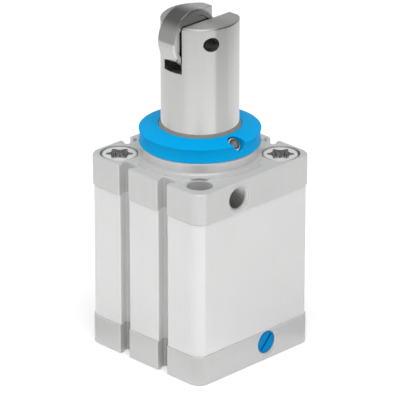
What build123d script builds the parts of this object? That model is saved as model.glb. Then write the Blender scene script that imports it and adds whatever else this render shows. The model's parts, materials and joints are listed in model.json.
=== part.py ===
"""Pneumatic stopper cylinder: square barrel between two caps, a round piston rod that a spring
holds out of the top, and a steel roller in the fork of the rod. Millimetres, +Z up, origin at the
middle of the underside. The ports are on the +X face and the roller leans out towards -Y."""

from build123d import *
from math import atan2, cos, pi, radians, sin, sqrt
import os

os.makedirs("parts", exist_ok=True)

# Body
bore_d = 50.0              # piston bore
corner_inset = 1.75        # axes of the corner holes, inside the width of the bore
corner_edge = 9.5          # from the axes of the corner holes to the caps' faces
cap_corner_r = 6.0
barrel_inset = 0.5         # how far the barrel's faces lie inside the caps' faces
port_face_inset = 0.3      # the +X face is cut a little flatter than the other three
edge_chamfer = 0.5
edge_break = 0.4           # chamfer of small turned edges
end_cap_h = 13.0
barrel_h = 58.0
bearing_cap_h = 13.5
pilot_h = 3.0              # spigot of each cap inside the barrel
fit_gap = 0.05             # radial clearance of a running or sliding fit
past = 1.0                 # how far a cut runs past the face that it opens

# Slots for position switches, two in each of three faces
slot_spacing = 22.2
slot_mouth_w = 5.4
slot_inner_w = 7.4
slot_lip_t = 1.7
slot_depth = 4.7
slot_edge_chamfer = 0.3
slot_corner_r = 0.5

# Corner holes: collar screws on one diagonal, through holes on the other
screw_head_d = 14.8
screw_head_h = 7.0
screw_head_gap = 0.7       # ring of air round the head
screw_head_sunk = 0.4      # the head lies this far below the cap's face
screw_shank_d = 10.0
screw_shank_gap = 0.1
screw_tip_chamfer = 0.8
screw_grip_l = 22.0        # shank below the head
screw_hole_spare = 2.0     # tapped holes are this much deeper than their screws
socket_d = 11.2            # over the tips of the lobes
socket_waist_d = 8.1       # between the ridges
socket_lobes = 6
socket_lobe_r = 1.0
socket_turn = 45.0
socket_depth = 5.0
screw_bore_d = 6.8
through_hole_d = 10.5
through_hole_chamfer = 0.7

# Ports
port_d = 9.7
port_depth = 9.0
port_chamfer = 0.5
port_rim_d = 12.6
port_rim_depth = 0.3
port_channel_d = 4.0
upper_port_y = -10.2
upper_port_drop = 7.5      # below the top of the bearing cap
feed_d = 2.8               # drilling from the upper port down to the chamber
feed_wall = 0.4            # metal between that drilling and the rod seal's seat
lower_port_y = 7.0
lower_port_z = 7.4
plug_recess = 0.5          # the vent plug lies this far inside the port's rim
plug_l = 5.5
plug_chamfer = 0.5
plug_slot_l = 8.0
plug_slot_w = 1.3
plug_slot_depth = 1.6
plug_slot_turn = 45.0
plug_vent_d = 1.2

# Collar on the bearing cap, with the index ring round its spigot
spigot_wall = 0.8          # round the seat of the wiper
spigot_h = 5.6
ring_band_w = 6.0          # from the spigot to the ring's wall
ring_wall_h = 6.0
ring_waist = 0.4           # depth of the shallow waist round the ring's wall
ring_cone_h = 1.8
ring_rod_gap = 1.0         # between the ring's inner edge and the rod
collar_inset = 0.1         # the collar lies this far inside the ring's wall
collar_h = 5.5
collar_foot = 0.6
flange_w = 3.3
flange_h = 0.7
clamp_reach = 3.7          # from the spigot to where the clamp screw's axis leaves the ring
clamp_tilt = 45.0
clamp_turn = -4.0
clamp_recess_d = 7.0
clamp_recess_depth = 4.5
clamp_head_d = 5.5
clamp_head_h = 2.5
clamp_shank_d = 3.0
clamp_hex = 2.5
clamp_hex_depth = 1.6

# Rod and its bearing
rod_d = 32.0
stroke = 25.0
rod_top_over_ring = 46.4   # rod end above the ring, extended
rod_end_chamfer = 0.6
bush_t = 1.5
bush_h = 17.0
rod_passage_gap = 0.4      # round the rod below its bearing
rod_seal_h = 3.6
rod_seal_t = 3.4
wiper_t = 2.2
wiper_h = 3.0
wiper_lip_rise = 1.1       # lip above the ring's inner edge
wiper_ring_gap = 0.2       # between that lip and the ring
wiper_lip_slope = 0.2

# Fork and roller
fork_gap = 10.0
fork_depth = 19.8
fork_flat_y = 11.8
roller_d = 24.5
roller_w = 9.4
roller_y = -7.3
roller_below_top = 6.6
roller_rim_chamfer = 0.6
roller_rim_w = 2.2         # raised band round each face
roller_face_recess = 0.4
roller_face_hub_d = 12.0
axle_d = 6.0
axle_recess = 4.0          # the axle ends this far inside the rod's round
axle_press = 0.01
axle_clear = 0.03
roller_bush_t = 1.5

# Piston, bumpers, spring and guide pin
bumper_t = 1.5
bumper_w = 2.5
bumper_gap = 1.0           # from the rod, and from the bore
bumper_edge = 0.5
stop_gap = 0.3             # between piston and bumper at each end of the stroke
piston_gap = 0.3           # between the metal of the piston and the bore
piston_recess_h = 7.0
piston_seal_w = 4.0
piston_seal_t = 3.2
guide_ring_w = 5.0
guide_ring_t = 1.6
magnet_w = 4.0
magnet_t = 3.4
magnet_inset = 0.3
rod_spigot_d = 14.0
rod_spigot_seat = 0.2
piston_screw_d = 8.0
piston_screw_l = 22.0
piston_screw_head_d = 13.0
piston_screw_head_h = 5.0
piston_screw_hex = 6.0
piston_screw_hex_depth = 3.0
washer_d = 22.0
washer_t = 1.6
end_floor_t = 6.0
end_boss_h = 5.5
centring_d = 12.0
centring_depth = 2.5
spring_wire_d = 2.8
spring_turns = 7           # with one closed turn at each end
spring_mean_d = 33.0
spring_room = 0.9          # air between the spring and the walls round it and inside it
spring_closed_pitch = 2.95
spring_end_z = 0.5         # wire centre above the seat at its tip, so grinding leaves a flat
spring_steps = 8           # points of the wire's path in one turn
guide_pin_d = 4.0
guide_pin_x = 11.0
guide_pin_l = 54.0
guide_pin_seat = 8.0
guide_bore_gap = 0.3
pin_bush_t = 1.2
pin_bush_cover = 4.4       # metal of the piston above the pin bush
o_ring_d = 1.8

# Sizes and heights that follow from those above
corner = bore_d / 2 - corner_inset
cap_side = 2 * (corner + corner_edge)
barrel_side = cap_side - 2 * barrel_inset
barrel_z = end_cap_h
barrel_top = barrel_z + barrel_h
body_top = barrel_top + bearing_cap_h
collar_top = body_top + collar_h
ring_crease_z = collar_top + ring_wall_h
ring_top = ring_crease_z + ring_cone_h
rod_top = ring_top + rod_top_over_ring
fork_floor = rod_top - fork_depth
roller_z = rod_top - roller_below_top
rod_r = rod_d / 2
bore_r = bore_d / 2
spigot_d = rod_d + 2 * (wiper_t + spigot_wall)
ring_d = spigot_d + 2 * ring_band_w
ring_bore_d = rod_d + 2 * ring_rod_gap
collar_d = ring_d - 2 * collar_inset
flange_d = collar_d + 2 * flange_w
clamp_radius = spigot_d / 2 + clamp_reach
head_recess_d = screw_head_d + 2 * screw_head_gap
head_recess_depth = screw_head_h + screw_head_sunk
feed_pitch_r = rod_r + rod_seal_t + feed_wall + feed_d / 2
spring_recess_d = spring_mean_d + spring_wire_d + 2 * spring_room
end_boss_d = spring_mean_d - spring_wire_d - 2 * spring_room
boss_top = end_floor_t + end_boss_h
end_pilot_top = barrel_z + pilot_h
bearing_pilot_z = barrel_top - pilot_h
lower_stop_z = end_pilot_top + bumper_t + stop_gap
piston_top = bearing_pilot_z - bumper_t - stop_gap
piston_d = bore_d - 2 * piston_gap
piston_h = piston_top - stroke - lower_stop_z
piston_z = piston_top - piston_h
piston_split = piston_z + piston_h / 2
seat_z = piston_z + piston_recess_h
pin_bush_top = piston_top - pin_bush_cover
upper_port_z = body_top - upper_port_drop
bush_z = collar_top + spigot_h - wiper_h - bush_h
wiper_z = bush_z + bush_h


def tube(outer_r, inner_r, z_low, z_high):
    """Plain ring between two heights."""
    ring = Circle(outer_r) - Circle(inner_r)
    return Pos(0, 0, z_low) * extrude(ring, z_high - z_low)


def rod_between(radius, z_low, z_high, x=0, y=0):
    """Plain upright rod between two heights."""
    return Pos(x, y, z_low) * extrude(Circle(radius), z_high - z_low)


def turned(points):
    """Solid of revolution about Z from a closed outline of (radius, z) points."""
    return revolve(make_face(Plane.XZ * Polyline(*points, close=True)), Axis.Z)


def along_x(radius, x_low, x_high, y, z):
    """Plain rod along X."""
    return Plane.YZ.offset(x_low) * Pos(y, z) * extrude(Circle(radius), x_high - x_low)


def square_block(side, height, end_chamfer):
    """Square block with rounded corners and chamfered ends, its +X face cut a little flatter."""
    corner_r = cap_corner_r - (cap_side - side) / 2
    block = extrude(RectangleRounded(side, side, corner_r), height)
    if end_chamfer:
        ends = block.edges().group_by(Axis.Z)
        block = chamfer(ends[0] + ends[-1], end_chamfer)
    beyond = Pos(side - port_face_inset, 0, height / 2) * Box(side, 2 * side, 2 * height)
    return block - beyond


def switch_slots(face):
    """Section of the two slots in the +Y side, cut into a surface that lies at y = face."""
    floor = barrel_side / 2 - slot_depth
    lip = barrel_side / 2 - slot_lip_t
    half = slot_mouth_w / 2
    wide = half + slot_edge_chamfer
    edge = face - slot_edge_chamfer
    mouth = Polyline((-half, floor), (-half, edge), (-wide, face), (-wide, face + past),
                     (wide, face + past), (wide, face), (half, edge), (half, floor), close=True)
    inner = Pos(0, (floor + lip) / 2) * RectangleRounded(slot_inner_w, lip - floor, slot_corner_r)
    one = make_face(mouth) + inner
    return Pos(-slot_spacing / 2, 0) * one + Pos(slot_spacing / 2, 0) * one


def cut_slots(block, side, z_low, height):
    """Run the slots of the three plain faces through a block."""
    section = switch_slots(side / 2)
    for turn in (0, 90, 180):
        block -= Pos(0, 0, z_low - past) * extrude(Rot(0, 0, turn) * section, height + 2 * past)
    return block


def collar_screw_places():
    """Centres of the corners that hold the collar screws."""
    return [(-corner, -corner), (corner, corner)]


def through_hole_places():
    """Centres of the corners with through holes for the mounting screws."""
    return [(corner, -corner), (-corner, corner)]


def port_cutter(y, z, inner_x):
    """Threaded port in the +X face: rim, mouth chamfer, thread bore and the channel behind it."""
    face_x = cap_side / 2 - port_face_inset
    cutter = along_x(port_rim_d / 2, face_x - port_rim_depth, face_x + past, y, z)
    cutter += along_x(port_d / 2, face_x - port_depth, face_x + past, y, z)
    mouth = Plane.YZ.offset(face_x - port_rim_depth - port_chamfer) * Pos(y, z) * Circle(port_d / 2)
    wide = Plane.YZ.offset(face_x - port_rim_depth) * Pos(y, z) * Circle(port_d / 2 + port_chamfer)
    cutter += loft([mouth, wide])
    cutter += along_x(port_channel_d / 2, inner_x, face_x - port_depth + past, y, z)
    return cutter


def corner_cuts(cap, face_z, inner_z):
    """Recesses for the collar screws from face_z, and the chamfered through holes."""
    into = 1 if inner_z > face_z else -1
    mouth_z = face_z - into * past
    far_z = inner_z + into * past
    r = through_hole_d / 2
    c = through_hole_chamfer
    cone = turned([(0, face_z), (r + c, face_z), (r, face_z + into * c), (0, face_z + into * c)])
    for x, y in collar_screw_places():
        floor_z = face_z + into * head_recess_depth
        cap -= rod_between(head_recess_d / 2, *sorted((mouth_z, floor_z)), x, y)
        cap -= rod_between(screw_shank_d / 2 + screw_shank_gap, *sorted((face_z, far_z)), x, y)
    for x, y in through_hole_places():
        cap -= rod_between(r, *sorted((mouth_z, far_z)), x, y) + Pos(x, y, 0) * cone
    return cap


def make_barrel():
    """Extruded square barrel with the piston bore, the switch slots and the corner holes."""
    body = Pos(0, 0, barrel_z) * square_block(barrel_side, barrel_h, 0)
    body = cut_slots(body, barrel_side, barrel_z, barrel_h)
    low, high = barrel_z - past, barrel_top + past
    body -= rod_between(bore_r, low, high)
    tapped_r = screw_shank_d / 2 + fit_gap
    depth = head_recess_depth + screw_grip_l + screw_hole_spare
    for x, y in collar_screw_places():
        body -= rod_between(tapped_r, body_top - depth, high, x, y)
        body -= rod_between(tapped_r, low, depth, x, y)
    for x, y in through_hole_places():
        body -= rod_between(through_hole_d / 2, low, high, x, y)
    return body


def o_ring_groove(z_mid):
    """Cutter for the seal groove round a cap's pilot."""
    half = o_ring_d / 2 + fit_gap
    return tube(bore_r + past, bore_r - o_ring_d - fit_gap, z_mid - half, z_mid + half)


def make_bearing_cap():
    """Upper cap: collar, spigot for the ring, rod bearing seat, upper port and corner holes."""
    cap = Pos(0, 0, barrel_top) * square_block(cap_side, bearing_cap_h, edge_chamfer)
    cap = cut_slots(cap, cap_side, barrel_top, bearing_cap_h)
    cap += rod_between(bore_r - fit_gap, bearing_pilot_z, barrel_top)
    flange = rod_between(flange_d / 2, body_top - past, body_top + flange_h)
    cap += flange & Pos(0, 0, body_top) * Rot(0, 0, 45) * Box(collar_d, flange_d, 2 * bearing_cap_h)
    foot_z = body_top + flange_h
    r = collar_d / 2
    spigot_r = spigot_d / 2
    top = collar_top + spigot_h
    cap += turned([(0, body_top), (r + collar_foot, body_top), (r + collar_foot, foot_z),
                   (r, foot_z + collar_foot), (r, collar_top - edge_break), (r - edge_break, collar_top),
                   (spigot_r, collar_top), (spigot_r, top - edge_break), (spigot_r - edge_break, top),
                   (0, top)])
    cap = corner_cuts(cap, body_top, barrel_top)
    cap -= rod_between(rod_r + bush_t, bush_z, wiper_z)
    cap -= rod_between(rod_r + wiper_t, wiper_z, top + past)
    cap -= rod_between(rod_r + rod_seal_t, bush_z - rod_seal_h, bush_z)
    cap -= rod_between(rod_r + rod_passage_gap, bearing_pilot_z - past, bush_z)
    cap -= o_ring_groove(bearing_pilot_z + pilot_h / 2)
    feed_x = sqrt(feed_pitch_r ** 2 - upper_port_y ** 2)
    cap -= port_cutter(upper_port_y, upper_port_z, feed_x)
    cap -= rod_between(feed_d / 2, bearing_pilot_z - past, upper_port_z, feed_x, upper_port_y)
    return cap


def make_end_cap():
    """Lower cap: spring recess with a boss for the guide pin, lower port and corner holes."""
    cap = square_block(cap_side, end_cap_h, edge_chamfer)
    cap = cut_slots(cap, cap_side, 0, end_cap_h)
    cap += rod_between(bore_r - fit_gap, end_cap_h, end_pilot_top)
    cap -= rod_between(spring_recess_d / 2, end_floor_t, end_pilot_top + past)
    cap += rod_between(end_boss_d / 2, end_floor_t - past, boss_top)
    cap = corner_cuts(cap, 0, end_cap_h)
    cap -= rod_between(guide_pin_d / 2, boss_top - guide_pin_seat, boss_top + past, guide_pin_x)
    cap -= o_ring_groove(end_cap_h + pilot_h / 2)
    cap -= port_cutter(lower_port_y, lower_port_z, end_boss_d / 2 + past)
    cap -= rod_between(centring_d / 2, -past, centring_depth)
    return cap


def polar(radius, turn):
    """Point at a distance from the axis and an angle in radians."""
    return radius * cos(turn), radius * sin(turn)


def socket_outline():
    """Lobed outline in which each ridge's arc runs into the lobes beside it without a corner."""
    step = 2 * pi / socket_lobes
    lobe_at = socket_d / 2 - socket_lobe_r
    waist_r = socket_waist_d / 2
    lean = lobe_at * cos(step / 2)
    ridge_r = ((lobe_at ** 2 + waist_r ** 2 - 2 * lean * waist_r - socket_lobe_r ** 2)
               / (2 * (socket_lobe_r + lean - waist_r)))
    ridge_at = waist_r + ridge_r
    share = socket_lobe_r / (socket_lobe_r + ridge_r)
    join_x = lobe_at + share * (ridge_at * cos(step / 2) - lobe_at)
    join_y = share * ridge_at * sin(step / 2)
    join_r, join_turn = sqrt(join_x ** 2 + join_y ** 2), atan2(join_y, join_x)
    arcs = []
    for lobe in range(socket_lobes):
        turn = lobe * step
        start, end = polar(join_r, turn - join_turn), polar(join_r, turn + join_turn)
        following = polar(join_r, turn + step - join_turn)
        arcs.append(ThreePointArc(start, polar(socket_d / 2, turn), end))
        arcs.append(ThreePointArc(end, polar(waist_r, turn + step / 2), following))
    return make_face(Curve(children=arcs))


def make_collar_screw():
    """Collar screw, underside of the head at z = 0, shank pointing down."""
    r = screw_head_d / 2
    s = screw_shank_d / 2
    c = screw_tip_chamfer
    screw = turned([(0, -screw_grip_l), (s - c, -screw_grip_l), (s, c - screw_grip_l), (s, 0), (r, 0),
                    (r, screw_head_h - edge_break), (r - edge_break, screw_head_h), (0, screw_head_h)])
    floor_z = screw_head_h - socket_depth
    screw -= Pos(0, 0, floor_z) * Rot(0, 0, socket_turn) * extrude(socket_outline(), socket_depth + past)
    screw -= rod_between(screw_bore_d / 2, -screw_grip_l - past, screw_head_h)
    return screw


def make_collar_screws(seat_z, upwards):
    """The pair of collar screws of one cap; upwards turns their heads to face up."""
    turn = Rot(0, 0, 0) if upwards else Rot(180, 0, 0)
    return [Pos(x, y, seat_z) * turn * make_collar_screw() for x, y in collar_screw_places()]


def clamp_frame():
    """Place on the ring's cone where the clamp screw's axis comes out, z along that axis."""
    cone_z = ring_crease_z + ring_cone_h * (ring_d - 2 * clamp_radius) / (ring_d - ring_bore_d)
    return Rot(0, 0, clamp_turn) * Pos(clamp_radius, 0, cone_z) * Rot(0, clamp_tilt, 0)


def clamp_depth():
    """How far the clamp screw's whole tip is inside the ring, along its axis, at the spigot."""
    return (clamp_reach + clamp_shank_d / 2) / sin(radians(clamp_tilt))


def make_index_ring():
    """Blue ring: shallow cone on top, waisted wall, bored to sit round the cap's spigot."""
    r = ring_d / 2
    bore = spigot_d / 2 + fit_gap
    lip_z = collar_top + spigot_h
    low = collar_top + edge_break
    outline = [Line((bore, collar_top), (r - edge_break, collar_top)),
               Line((r - edge_break, collar_top), (r, low)),
               ThreePointArc((r, low), (r - ring_waist, (low + ring_crease_z) / 2), (r, ring_crease_z)),
               Line((r, ring_crease_z), (ring_bore_d / 2, ring_top)),
               Line((ring_bore_d / 2, ring_top), (ring_bore_d / 2, lip_z)),
               Line((ring_bore_d / 2, lip_z), (bore, lip_z)),
               Line((bore, lip_z), (bore, collar_top))]
    ring = revolve(make_face(Plane.XZ * Curve(children=outline)), Axis.Z)
    ring -= clamp_frame() * rod_between(clamp_recess_d / 2, -clamp_recess_depth, clamp_recess_d)
    ring -= clamp_frame() * rod_between(clamp_shank_d / 2 + fit_gap, -clamp_depth() - past, 0)
    return ring


def make_clamp_screw():
    """Socket screw in the ring's sloping recess, its end against the cap's spigot."""
    seat = -clamp_recess_depth
    head = Pos(0, 0, seat) * extrude(Circle(clamp_head_d / 2), clamp_head_h)
    head = chamfer(head.edges().group_by(Axis.Z)[-1], edge_break)
    hexagon = RegularPolygon(clamp_hex / 2, 6, major_radius=False)
    head -= Pos(0, 0, seat + clamp_head_h) * extrude(hexagon, -clamp_hex_depth)
    screw = clamp_frame() * (head + rod_between(clamp_shank_d / 2, -clamp_depth(), seat))
    return screw - rod_between(spigot_d / 2 + fit_gap, bush_z, ring_top + clamp_recess_d)


def make_vent_plug():
    """Slotted vent plug in the lower port, its face a little inside the port's rim."""
    face_x = cap_side / 2 - port_face_inset - port_rim_depth - plug_recess
    plug = along_x(port_d / 2 - fit_gap, face_x - plug_l, face_x, lower_port_y, lower_port_z)
    plug = chamfer(plug.edges().group_by(Axis.X)[-1], plug_chamfer)
    place = Pos(face_x, lower_port_y, lower_port_z)
    plug -= place * Rot(plug_slot_turn, 0, 0) * Box(2 * plug_slot_depth, plug_slot_l, plug_slot_w)
    return plug - along_x(plug_vent_d / 2, face_x - plug_l - past, face_x, lower_port_y, lower_port_z)


def make_piston_rod():
    """Round rod with the fork, its back flat, the axle holes, the guide pin bore and a spigot."""
    c = rod_end_chamfer
    tip = rod_spigot_d / 2
    low = seat_z + rod_spigot_seat
    rod = turned([(0, low), (tip - edge_break, low), (tip, low + edge_break), (tip, piston_top),
                  (rod_r, piston_top), (rod_r, rod_top - c), (rod_r - c, rod_top), (0, rod_top)])
    rod -= Pos(0, 0, fork_floor + fork_depth) * Box(fork_gap, 2 * rod_d, 2 * fork_depth)
    behind = Pos(0, fork_flat_y + rod_r / 2, fork_floor + fork_depth)
    rod -= behind * Box(2 * rod_d, rod_r, 2 * fork_depth)
    rod -= along_x(axle_d / 2, -rod_d, rod_d, roller_y, roller_z)
    pin_top = boss_top - guide_pin_seat + guide_pin_l
    rod -= rod_between(guide_pin_d / 2 + guide_bore_gap, piston_top - past, pin_top + stroke + past,
                       guide_pin_x)
    rod -= rod_between(piston_screw_d / 2, seat_z - past, seat_z + piston_screw_l)
    return rod


def piston_half(z_low, z_high):
    """Blank disc of the piston between two heights, bored for the rod's spigot and the pin bush."""
    pin_hole = rod_between(guide_pin_d / 2 + pin_bush_t + fit_gap, z_low - past, z_high + past, guide_pin_x)
    return tube(piston_d / 2, rod_spigot_d / 2 + fit_gap, z_low, z_high) - pin_hole


def groove(width, thickness, z_mid):
    """Cutter for a square groove round the piston."""
    return tube(bore_r, bore_r - fit_gap - thickness, z_mid - width / 2, z_mid + width / 2)


def ring_in_groove(width, thickness, z_mid, outer_r):
    """Closed ring that fills a groove, with a thin clearance all round."""
    half = width / 2 - fit_gap
    return tube(outer_r, bore_r - thickness, z_mid - half, z_mid + half)


def make_spring():
    """Compression spring between the end cap's floor and the piston, its end turns closed and ground."""
    steps = spring_turns * spring_steps
    opened = [min(max(min(i, steps - i) / spring_steps - 0.75, 0), 0.5) * 2 for i in range(1, steps + 1)]
    height = seat_z - end_floor_t - 2 * spring_end_z
    extra = (height - spring_turns * spring_closed_pitch) / sum(opened)
    points = [Vector(spring_mean_d / 2, 0, end_floor_t + spring_end_z)]
    for i, share in enumerate(opened, 1):
        turn = 2 * pi * i / spring_steps
        rise = spring_closed_pitch / spring_steps + extra * share
        points.append(Vector(spring_mean_d / 2 * cos(turn), spring_mean_d / 2 * sin(turn),
                             points[-1].Z + rise))
    path = Spline(*points)
    wire = sweep((path ^ 0) * Circle(spring_wire_d / 2), path=path)
    return wire & rod_between(bore_r, end_floor_t, seat_z)


def make_roller():
    """Steel roller on X: chamfered rim, shallow face recess round a hub, bored for its bush."""
    r = roller_d / 2
    h = roller_w / 2
    c = roller_rim_chamfer
    hub = roller_face_hub_d / 2
    bore = axle_d / 2 + axle_clear + roller_bush_t
    e = roller_face_recess
    rim = r - roller_rim_w
    half = [(bore, 0), (bore, h), (hub, h), (hub + e, h - e), (rim - e, h - e), (rim, h), (r - c, h),
            (r, h - c), (r, 0)]
    both = half + [(x, -z) for x, z in reversed(half[1:-1])]
    return Pos(0, roller_y, roller_z) * Rot(0, 90, 0) * turned(both)


barrel = make_barrel()
bearing_cap = make_bearing_cap()
end_cap = make_end_cap()
top_collar_screws = make_collar_screws(body_top - head_recess_depth, True)
bottom_collar_screws = make_collar_screws(head_recess_depth, False)
index_ring = make_index_ring()
ring_clamp_screw = make_clamp_screw()
vent_plug = make_vent_plug()

rod_bush = tube(rod_r + bush_t, rod_r + fit_gap, bush_z, wiper_z)
rod_seal = tube(rod_r + rod_seal_t - fit_gap, rod_r + fit_gap, bush_z - rod_seal_h + fit_gap, bush_z)
lip_r = ring_bore_d / 2 - wiper_ring_gap
wiper_top = collar_top + spigot_h
rod_wiper = turned([(rod_r + fit_gap, wiper_z), (rod_r + wiper_t - fit_gap, wiper_z),
                    (rod_r + wiper_t - fit_gap, wiper_top - fit_gap), (lip_r, wiper_top - fit_gap),
                    (lip_r, ring_top - wiper_lip_slope),
                    (rod_r + wiper_lip_slope, ring_top + wiper_lip_rise),
                    (rod_r + fit_gap, ring_top + wiper_lip_rise)])

ring_mid = bore_r - fit_gap - o_ring_d / 2
upper_o_ring = Pos(0, 0, bearing_pilot_z + pilot_h / 2) * Torus(ring_mid, o_ring_d / 2 - fit_gap)
lower_o_ring = Pos(0, 0, end_cap_h + pilot_h / 2) * Torus(ring_mid, o_ring_d / 2 - fit_gap)
bumper_r = rod_r + bumper_gap
upper_bumper = tube(bumper_r + bumper_w, bumper_r, bearing_pilot_z - bumper_t, bearing_pilot_z)
lower_bumper = tube(bore_r - bumper_gap, spring_recess_d / 2 + bumper_edge, end_pilot_top,
                    end_pilot_top + bumper_t)

piston_rod = make_piston_rod()
seal_z = piston_split + piston_h / 4
guide_z = piston_split - piston_h / 4
upper_piston = piston_half(piston_split, piston_top) - groove(piston_seal_w, piston_seal_t, seal_z)
lower_piston = piston_half(piston_z, piston_split) - groove(guide_ring_w, guide_ring_t, guide_z)
magnet_cut = groove(magnet_w, magnet_t, piston_split)
upper_piston -= magnet_cut
lower_piston -= magnet_cut
lower_piston -= rod_between(spring_recess_d / 2, piston_z - past, seat_z)
piston_seal = ring_in_groove(piston_seal_w, piston_seal_t, seal_z, bore_r - fit_gap)
piston_guide_ring = ring_in_groove(guide_ring_w, guide_ring_t, guide_z, bore_r - fit_gap)
piston_magnet = ring_in_groove(magnet_w, magnet_t, piston_split, piston_d / 2 - magnet_inset)
pin_bush = Pos(guide_pin_x, 0, 0) * tube(guide_pin_d / 2 + pin_bush_t, guide_pin_d / 2 + fit_gap,
                                         seat_z, pin_bush_top)
piston_washer = tube(washer_d / 2, piston_screw_d / 2 + fit_gap, seat_z - washer_t, seat_z)
piston_washer -= rod_between(guide_pin_d / 2 + guide_bore_gap, piston_z, seat_z + past, guide_pin_x)
screw_seat = seat_z - washer_t
piston_screw = rod_between(piston_screw_head_d / 2, screw_seat - piston_screw_head_h, screw_seat)
piston_screw = chamfer(piston_screw.edges().group_by(Axis.Z)[0], edge_chamfer)
piston_screw += rod_between(piston_screw_d / 2 - fit_gap, screw_seat, screw_seat + piston_screw_l)
hexagon = RegularPolygon(piston_screw_hex / 2, 6, major_radius=False)
piston_screw -= Pos(0, 0, screw_seat - piston_screw_head_h) * extrude(hexagon, piston_screw_hex_depth)
return_spring = make_spring()
guide_pin_z = boss_top - guide_pin_seat
guide_pin = rod_between(guide_pin_d / 2, guide_pin_z, guide_pin_z + guide_pin_l, guide_pin_x)
guide_pin = chamfer(guide_pin.edges().group_by(Axis.Z)[-1], edge_chamfer)

roller = make_roller()
bush_r = axle_d / 2 + axle_clear
roller_bush = along_x(bush_r + roller_bush_t - axle_press, -roller_w / 2, roller_w / 2, roller_y, roller_z)
roller_bush -= along_x(bush_r, -roller_w, roller_w, roller_y, roller_z)
axle_half = sqrt(rod_r ** 2 - (abs(roller_y) + axle_d / 2) ** 2) - axle_recess
roller_axle = along_x(axle_d / 2 - axle_press, -axle_half, axle_half, roller_y, roller_z)
ends = roller_axle.edges().group_by(Axis.X)
roller_axle = chamfer(ends[0] + ends[-1], edge_break)

nodes = {
    "barrel": barrel,
    "bearing_cap": bearing_cap,
    "end_cap": end_cap,
    "top_collar_screws": top_collar_screws,
    "bottom_collar_screws": bottom_collar_screws,
    "index_ring": index_ring,
    "ring_clamp_screw": ring_clamp_screw,
    "vent_plug": vent_plug,
    "rod_bush": rod_bush,
    "rod_seal": rod_seal,
    "rod_wiper": rod_wiper,
    "upper_o_ring": upper_o_ring,
    "lower_o_ring": lower_o_ring,
    "upper_bumper": upper_bumper,
    "lower_bumper": lower_bumper,
    "return_spring": return_spring,
    "guide_pin": guide_pin,
    "piston_rod": piston_rod,
    "upper_piston": upper_piston,
    "lower_piston": lower_piston,
    "piston_seal": piston_seal,
    "piston_guide_ring": piston_guide_ring,
    "piston_magnet": piston_magnet,
    "pin_bush": pin_bush,
    "piston_washer": piston_washer,
    "piston_screw": piston_screw,
    "roller": roller,
    "roller_bush": roller_bush,
    "roller_axle": roller_axle,
}

for name, shape in nodes.items():
    solids = shape if isinstance(shape, list) else shape.solids()
    export_step(Compound(children=solids) if len(solids) > 1 else solids[0], f"parts/{name}.step")
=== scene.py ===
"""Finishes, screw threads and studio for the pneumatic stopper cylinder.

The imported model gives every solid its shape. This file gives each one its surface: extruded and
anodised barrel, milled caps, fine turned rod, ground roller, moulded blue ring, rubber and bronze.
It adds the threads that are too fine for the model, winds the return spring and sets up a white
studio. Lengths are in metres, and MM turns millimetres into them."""

import json
from math import cos, radians, sin, tau

import bmesh
import bpy
import numpy as np
from bpy.props import FloatProperty, FloatVectorProperty, IntProperty, PointerProperty
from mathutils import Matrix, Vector


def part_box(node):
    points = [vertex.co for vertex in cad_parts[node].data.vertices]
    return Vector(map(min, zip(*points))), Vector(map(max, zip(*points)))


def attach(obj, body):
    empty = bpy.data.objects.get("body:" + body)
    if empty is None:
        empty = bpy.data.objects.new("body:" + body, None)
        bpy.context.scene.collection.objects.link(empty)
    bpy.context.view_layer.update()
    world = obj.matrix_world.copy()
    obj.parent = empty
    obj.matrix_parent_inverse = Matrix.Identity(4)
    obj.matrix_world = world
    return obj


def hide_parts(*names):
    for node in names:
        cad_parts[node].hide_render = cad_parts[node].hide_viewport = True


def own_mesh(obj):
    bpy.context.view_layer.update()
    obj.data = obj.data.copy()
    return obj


bl_info = {
    "name": "Stopper Cylinder",
    "version": (1, 0, 0),
    "blender": (4, 5, 0),
    "location": "3D View > Sidebar > Stopper",
    "description": "Finishes, threads, return spring and studio of a pneumatic stopper cylinder",
    "category": "Object",
}

MM = 0.001

# The screens that only reflections see: brightness by azimuth in degrees, 0 along -Y and 90 along
# +X, of their low part and of their high part, and how the high part fades with the height in mm
LOW_SCREENS = ((-165, 0.8), (-100, 0.78), (-5, 0.8), (12, 0.98), (88, 0.98), (97, 0.79), (125, 0.80),
               (140, 0.9), (172, 0.88))
HIGH_SCREENS = ((-165, 0.40), (-105, 0.40), (-70, 0.34), (-35, 0.46), (88, 0.46), (100, 0.14),
                (145, 0.14), (160, 0.3))
FADE = ((60, 1.0), (200, 0.95), (310, 0.5))

# The same for their part that lies on the floor round the object
FLOOR_SCREENS = ((-165, 0.80), (-100, 0.85), (-45, 0.85), (0, 0.92), (60, 1.1), (88, 1.2), (95, 0.85),
                 (135, 0.68), (165, 0.75))

# Brightness of the sky by height over the horizon in degrees
SKY = ((0, 0.50), (14, 0.42), (28, 0.32), (40, 0.10), (54, 0.06), (60, 0.12), (70, 0.8), (90, 1.0))

# The way to the dim wall behind the object, and the cosines to it between which the sky dims
WALL_WAY = (-0.62, 0.68, 0.39)
WALL_FADE = (0.6, 0.95)

# Each lamp's azimuth and elevation in degrees, its distance and its width in metres
LAMPS = {"key": (55, 62, 1.2, 0.7), "left": (-45, 28, 0.9, 0.4), "right": (115, 20, 0.9, 0.4)}

# Repeats of the fine lines in a metre along X, Y and Z. Round an axis they are repeats in a metre of
# radius, in a metre of height and in a turn.
EXTRUDED = (2600, 2600, 14)
MILLED = (2200, 2200, 60)
FINE_TURNED = (5000, 5000, 3)
TURNED = (900, 900, 2)
CUT = (2000, 2000, 2000)
SINTERED = (1800, 1800, 1800)

# Cosine of the rounded to the true normal where an edge starts to show wear and painted glint, and where
# fully
EDGE_WEAR_AND_GLINT = (0.995, 0.90)

# Height of a face's unit normal where the face starts to count as level, and where fully
LEVEL = (0.8, 0.95)

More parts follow.
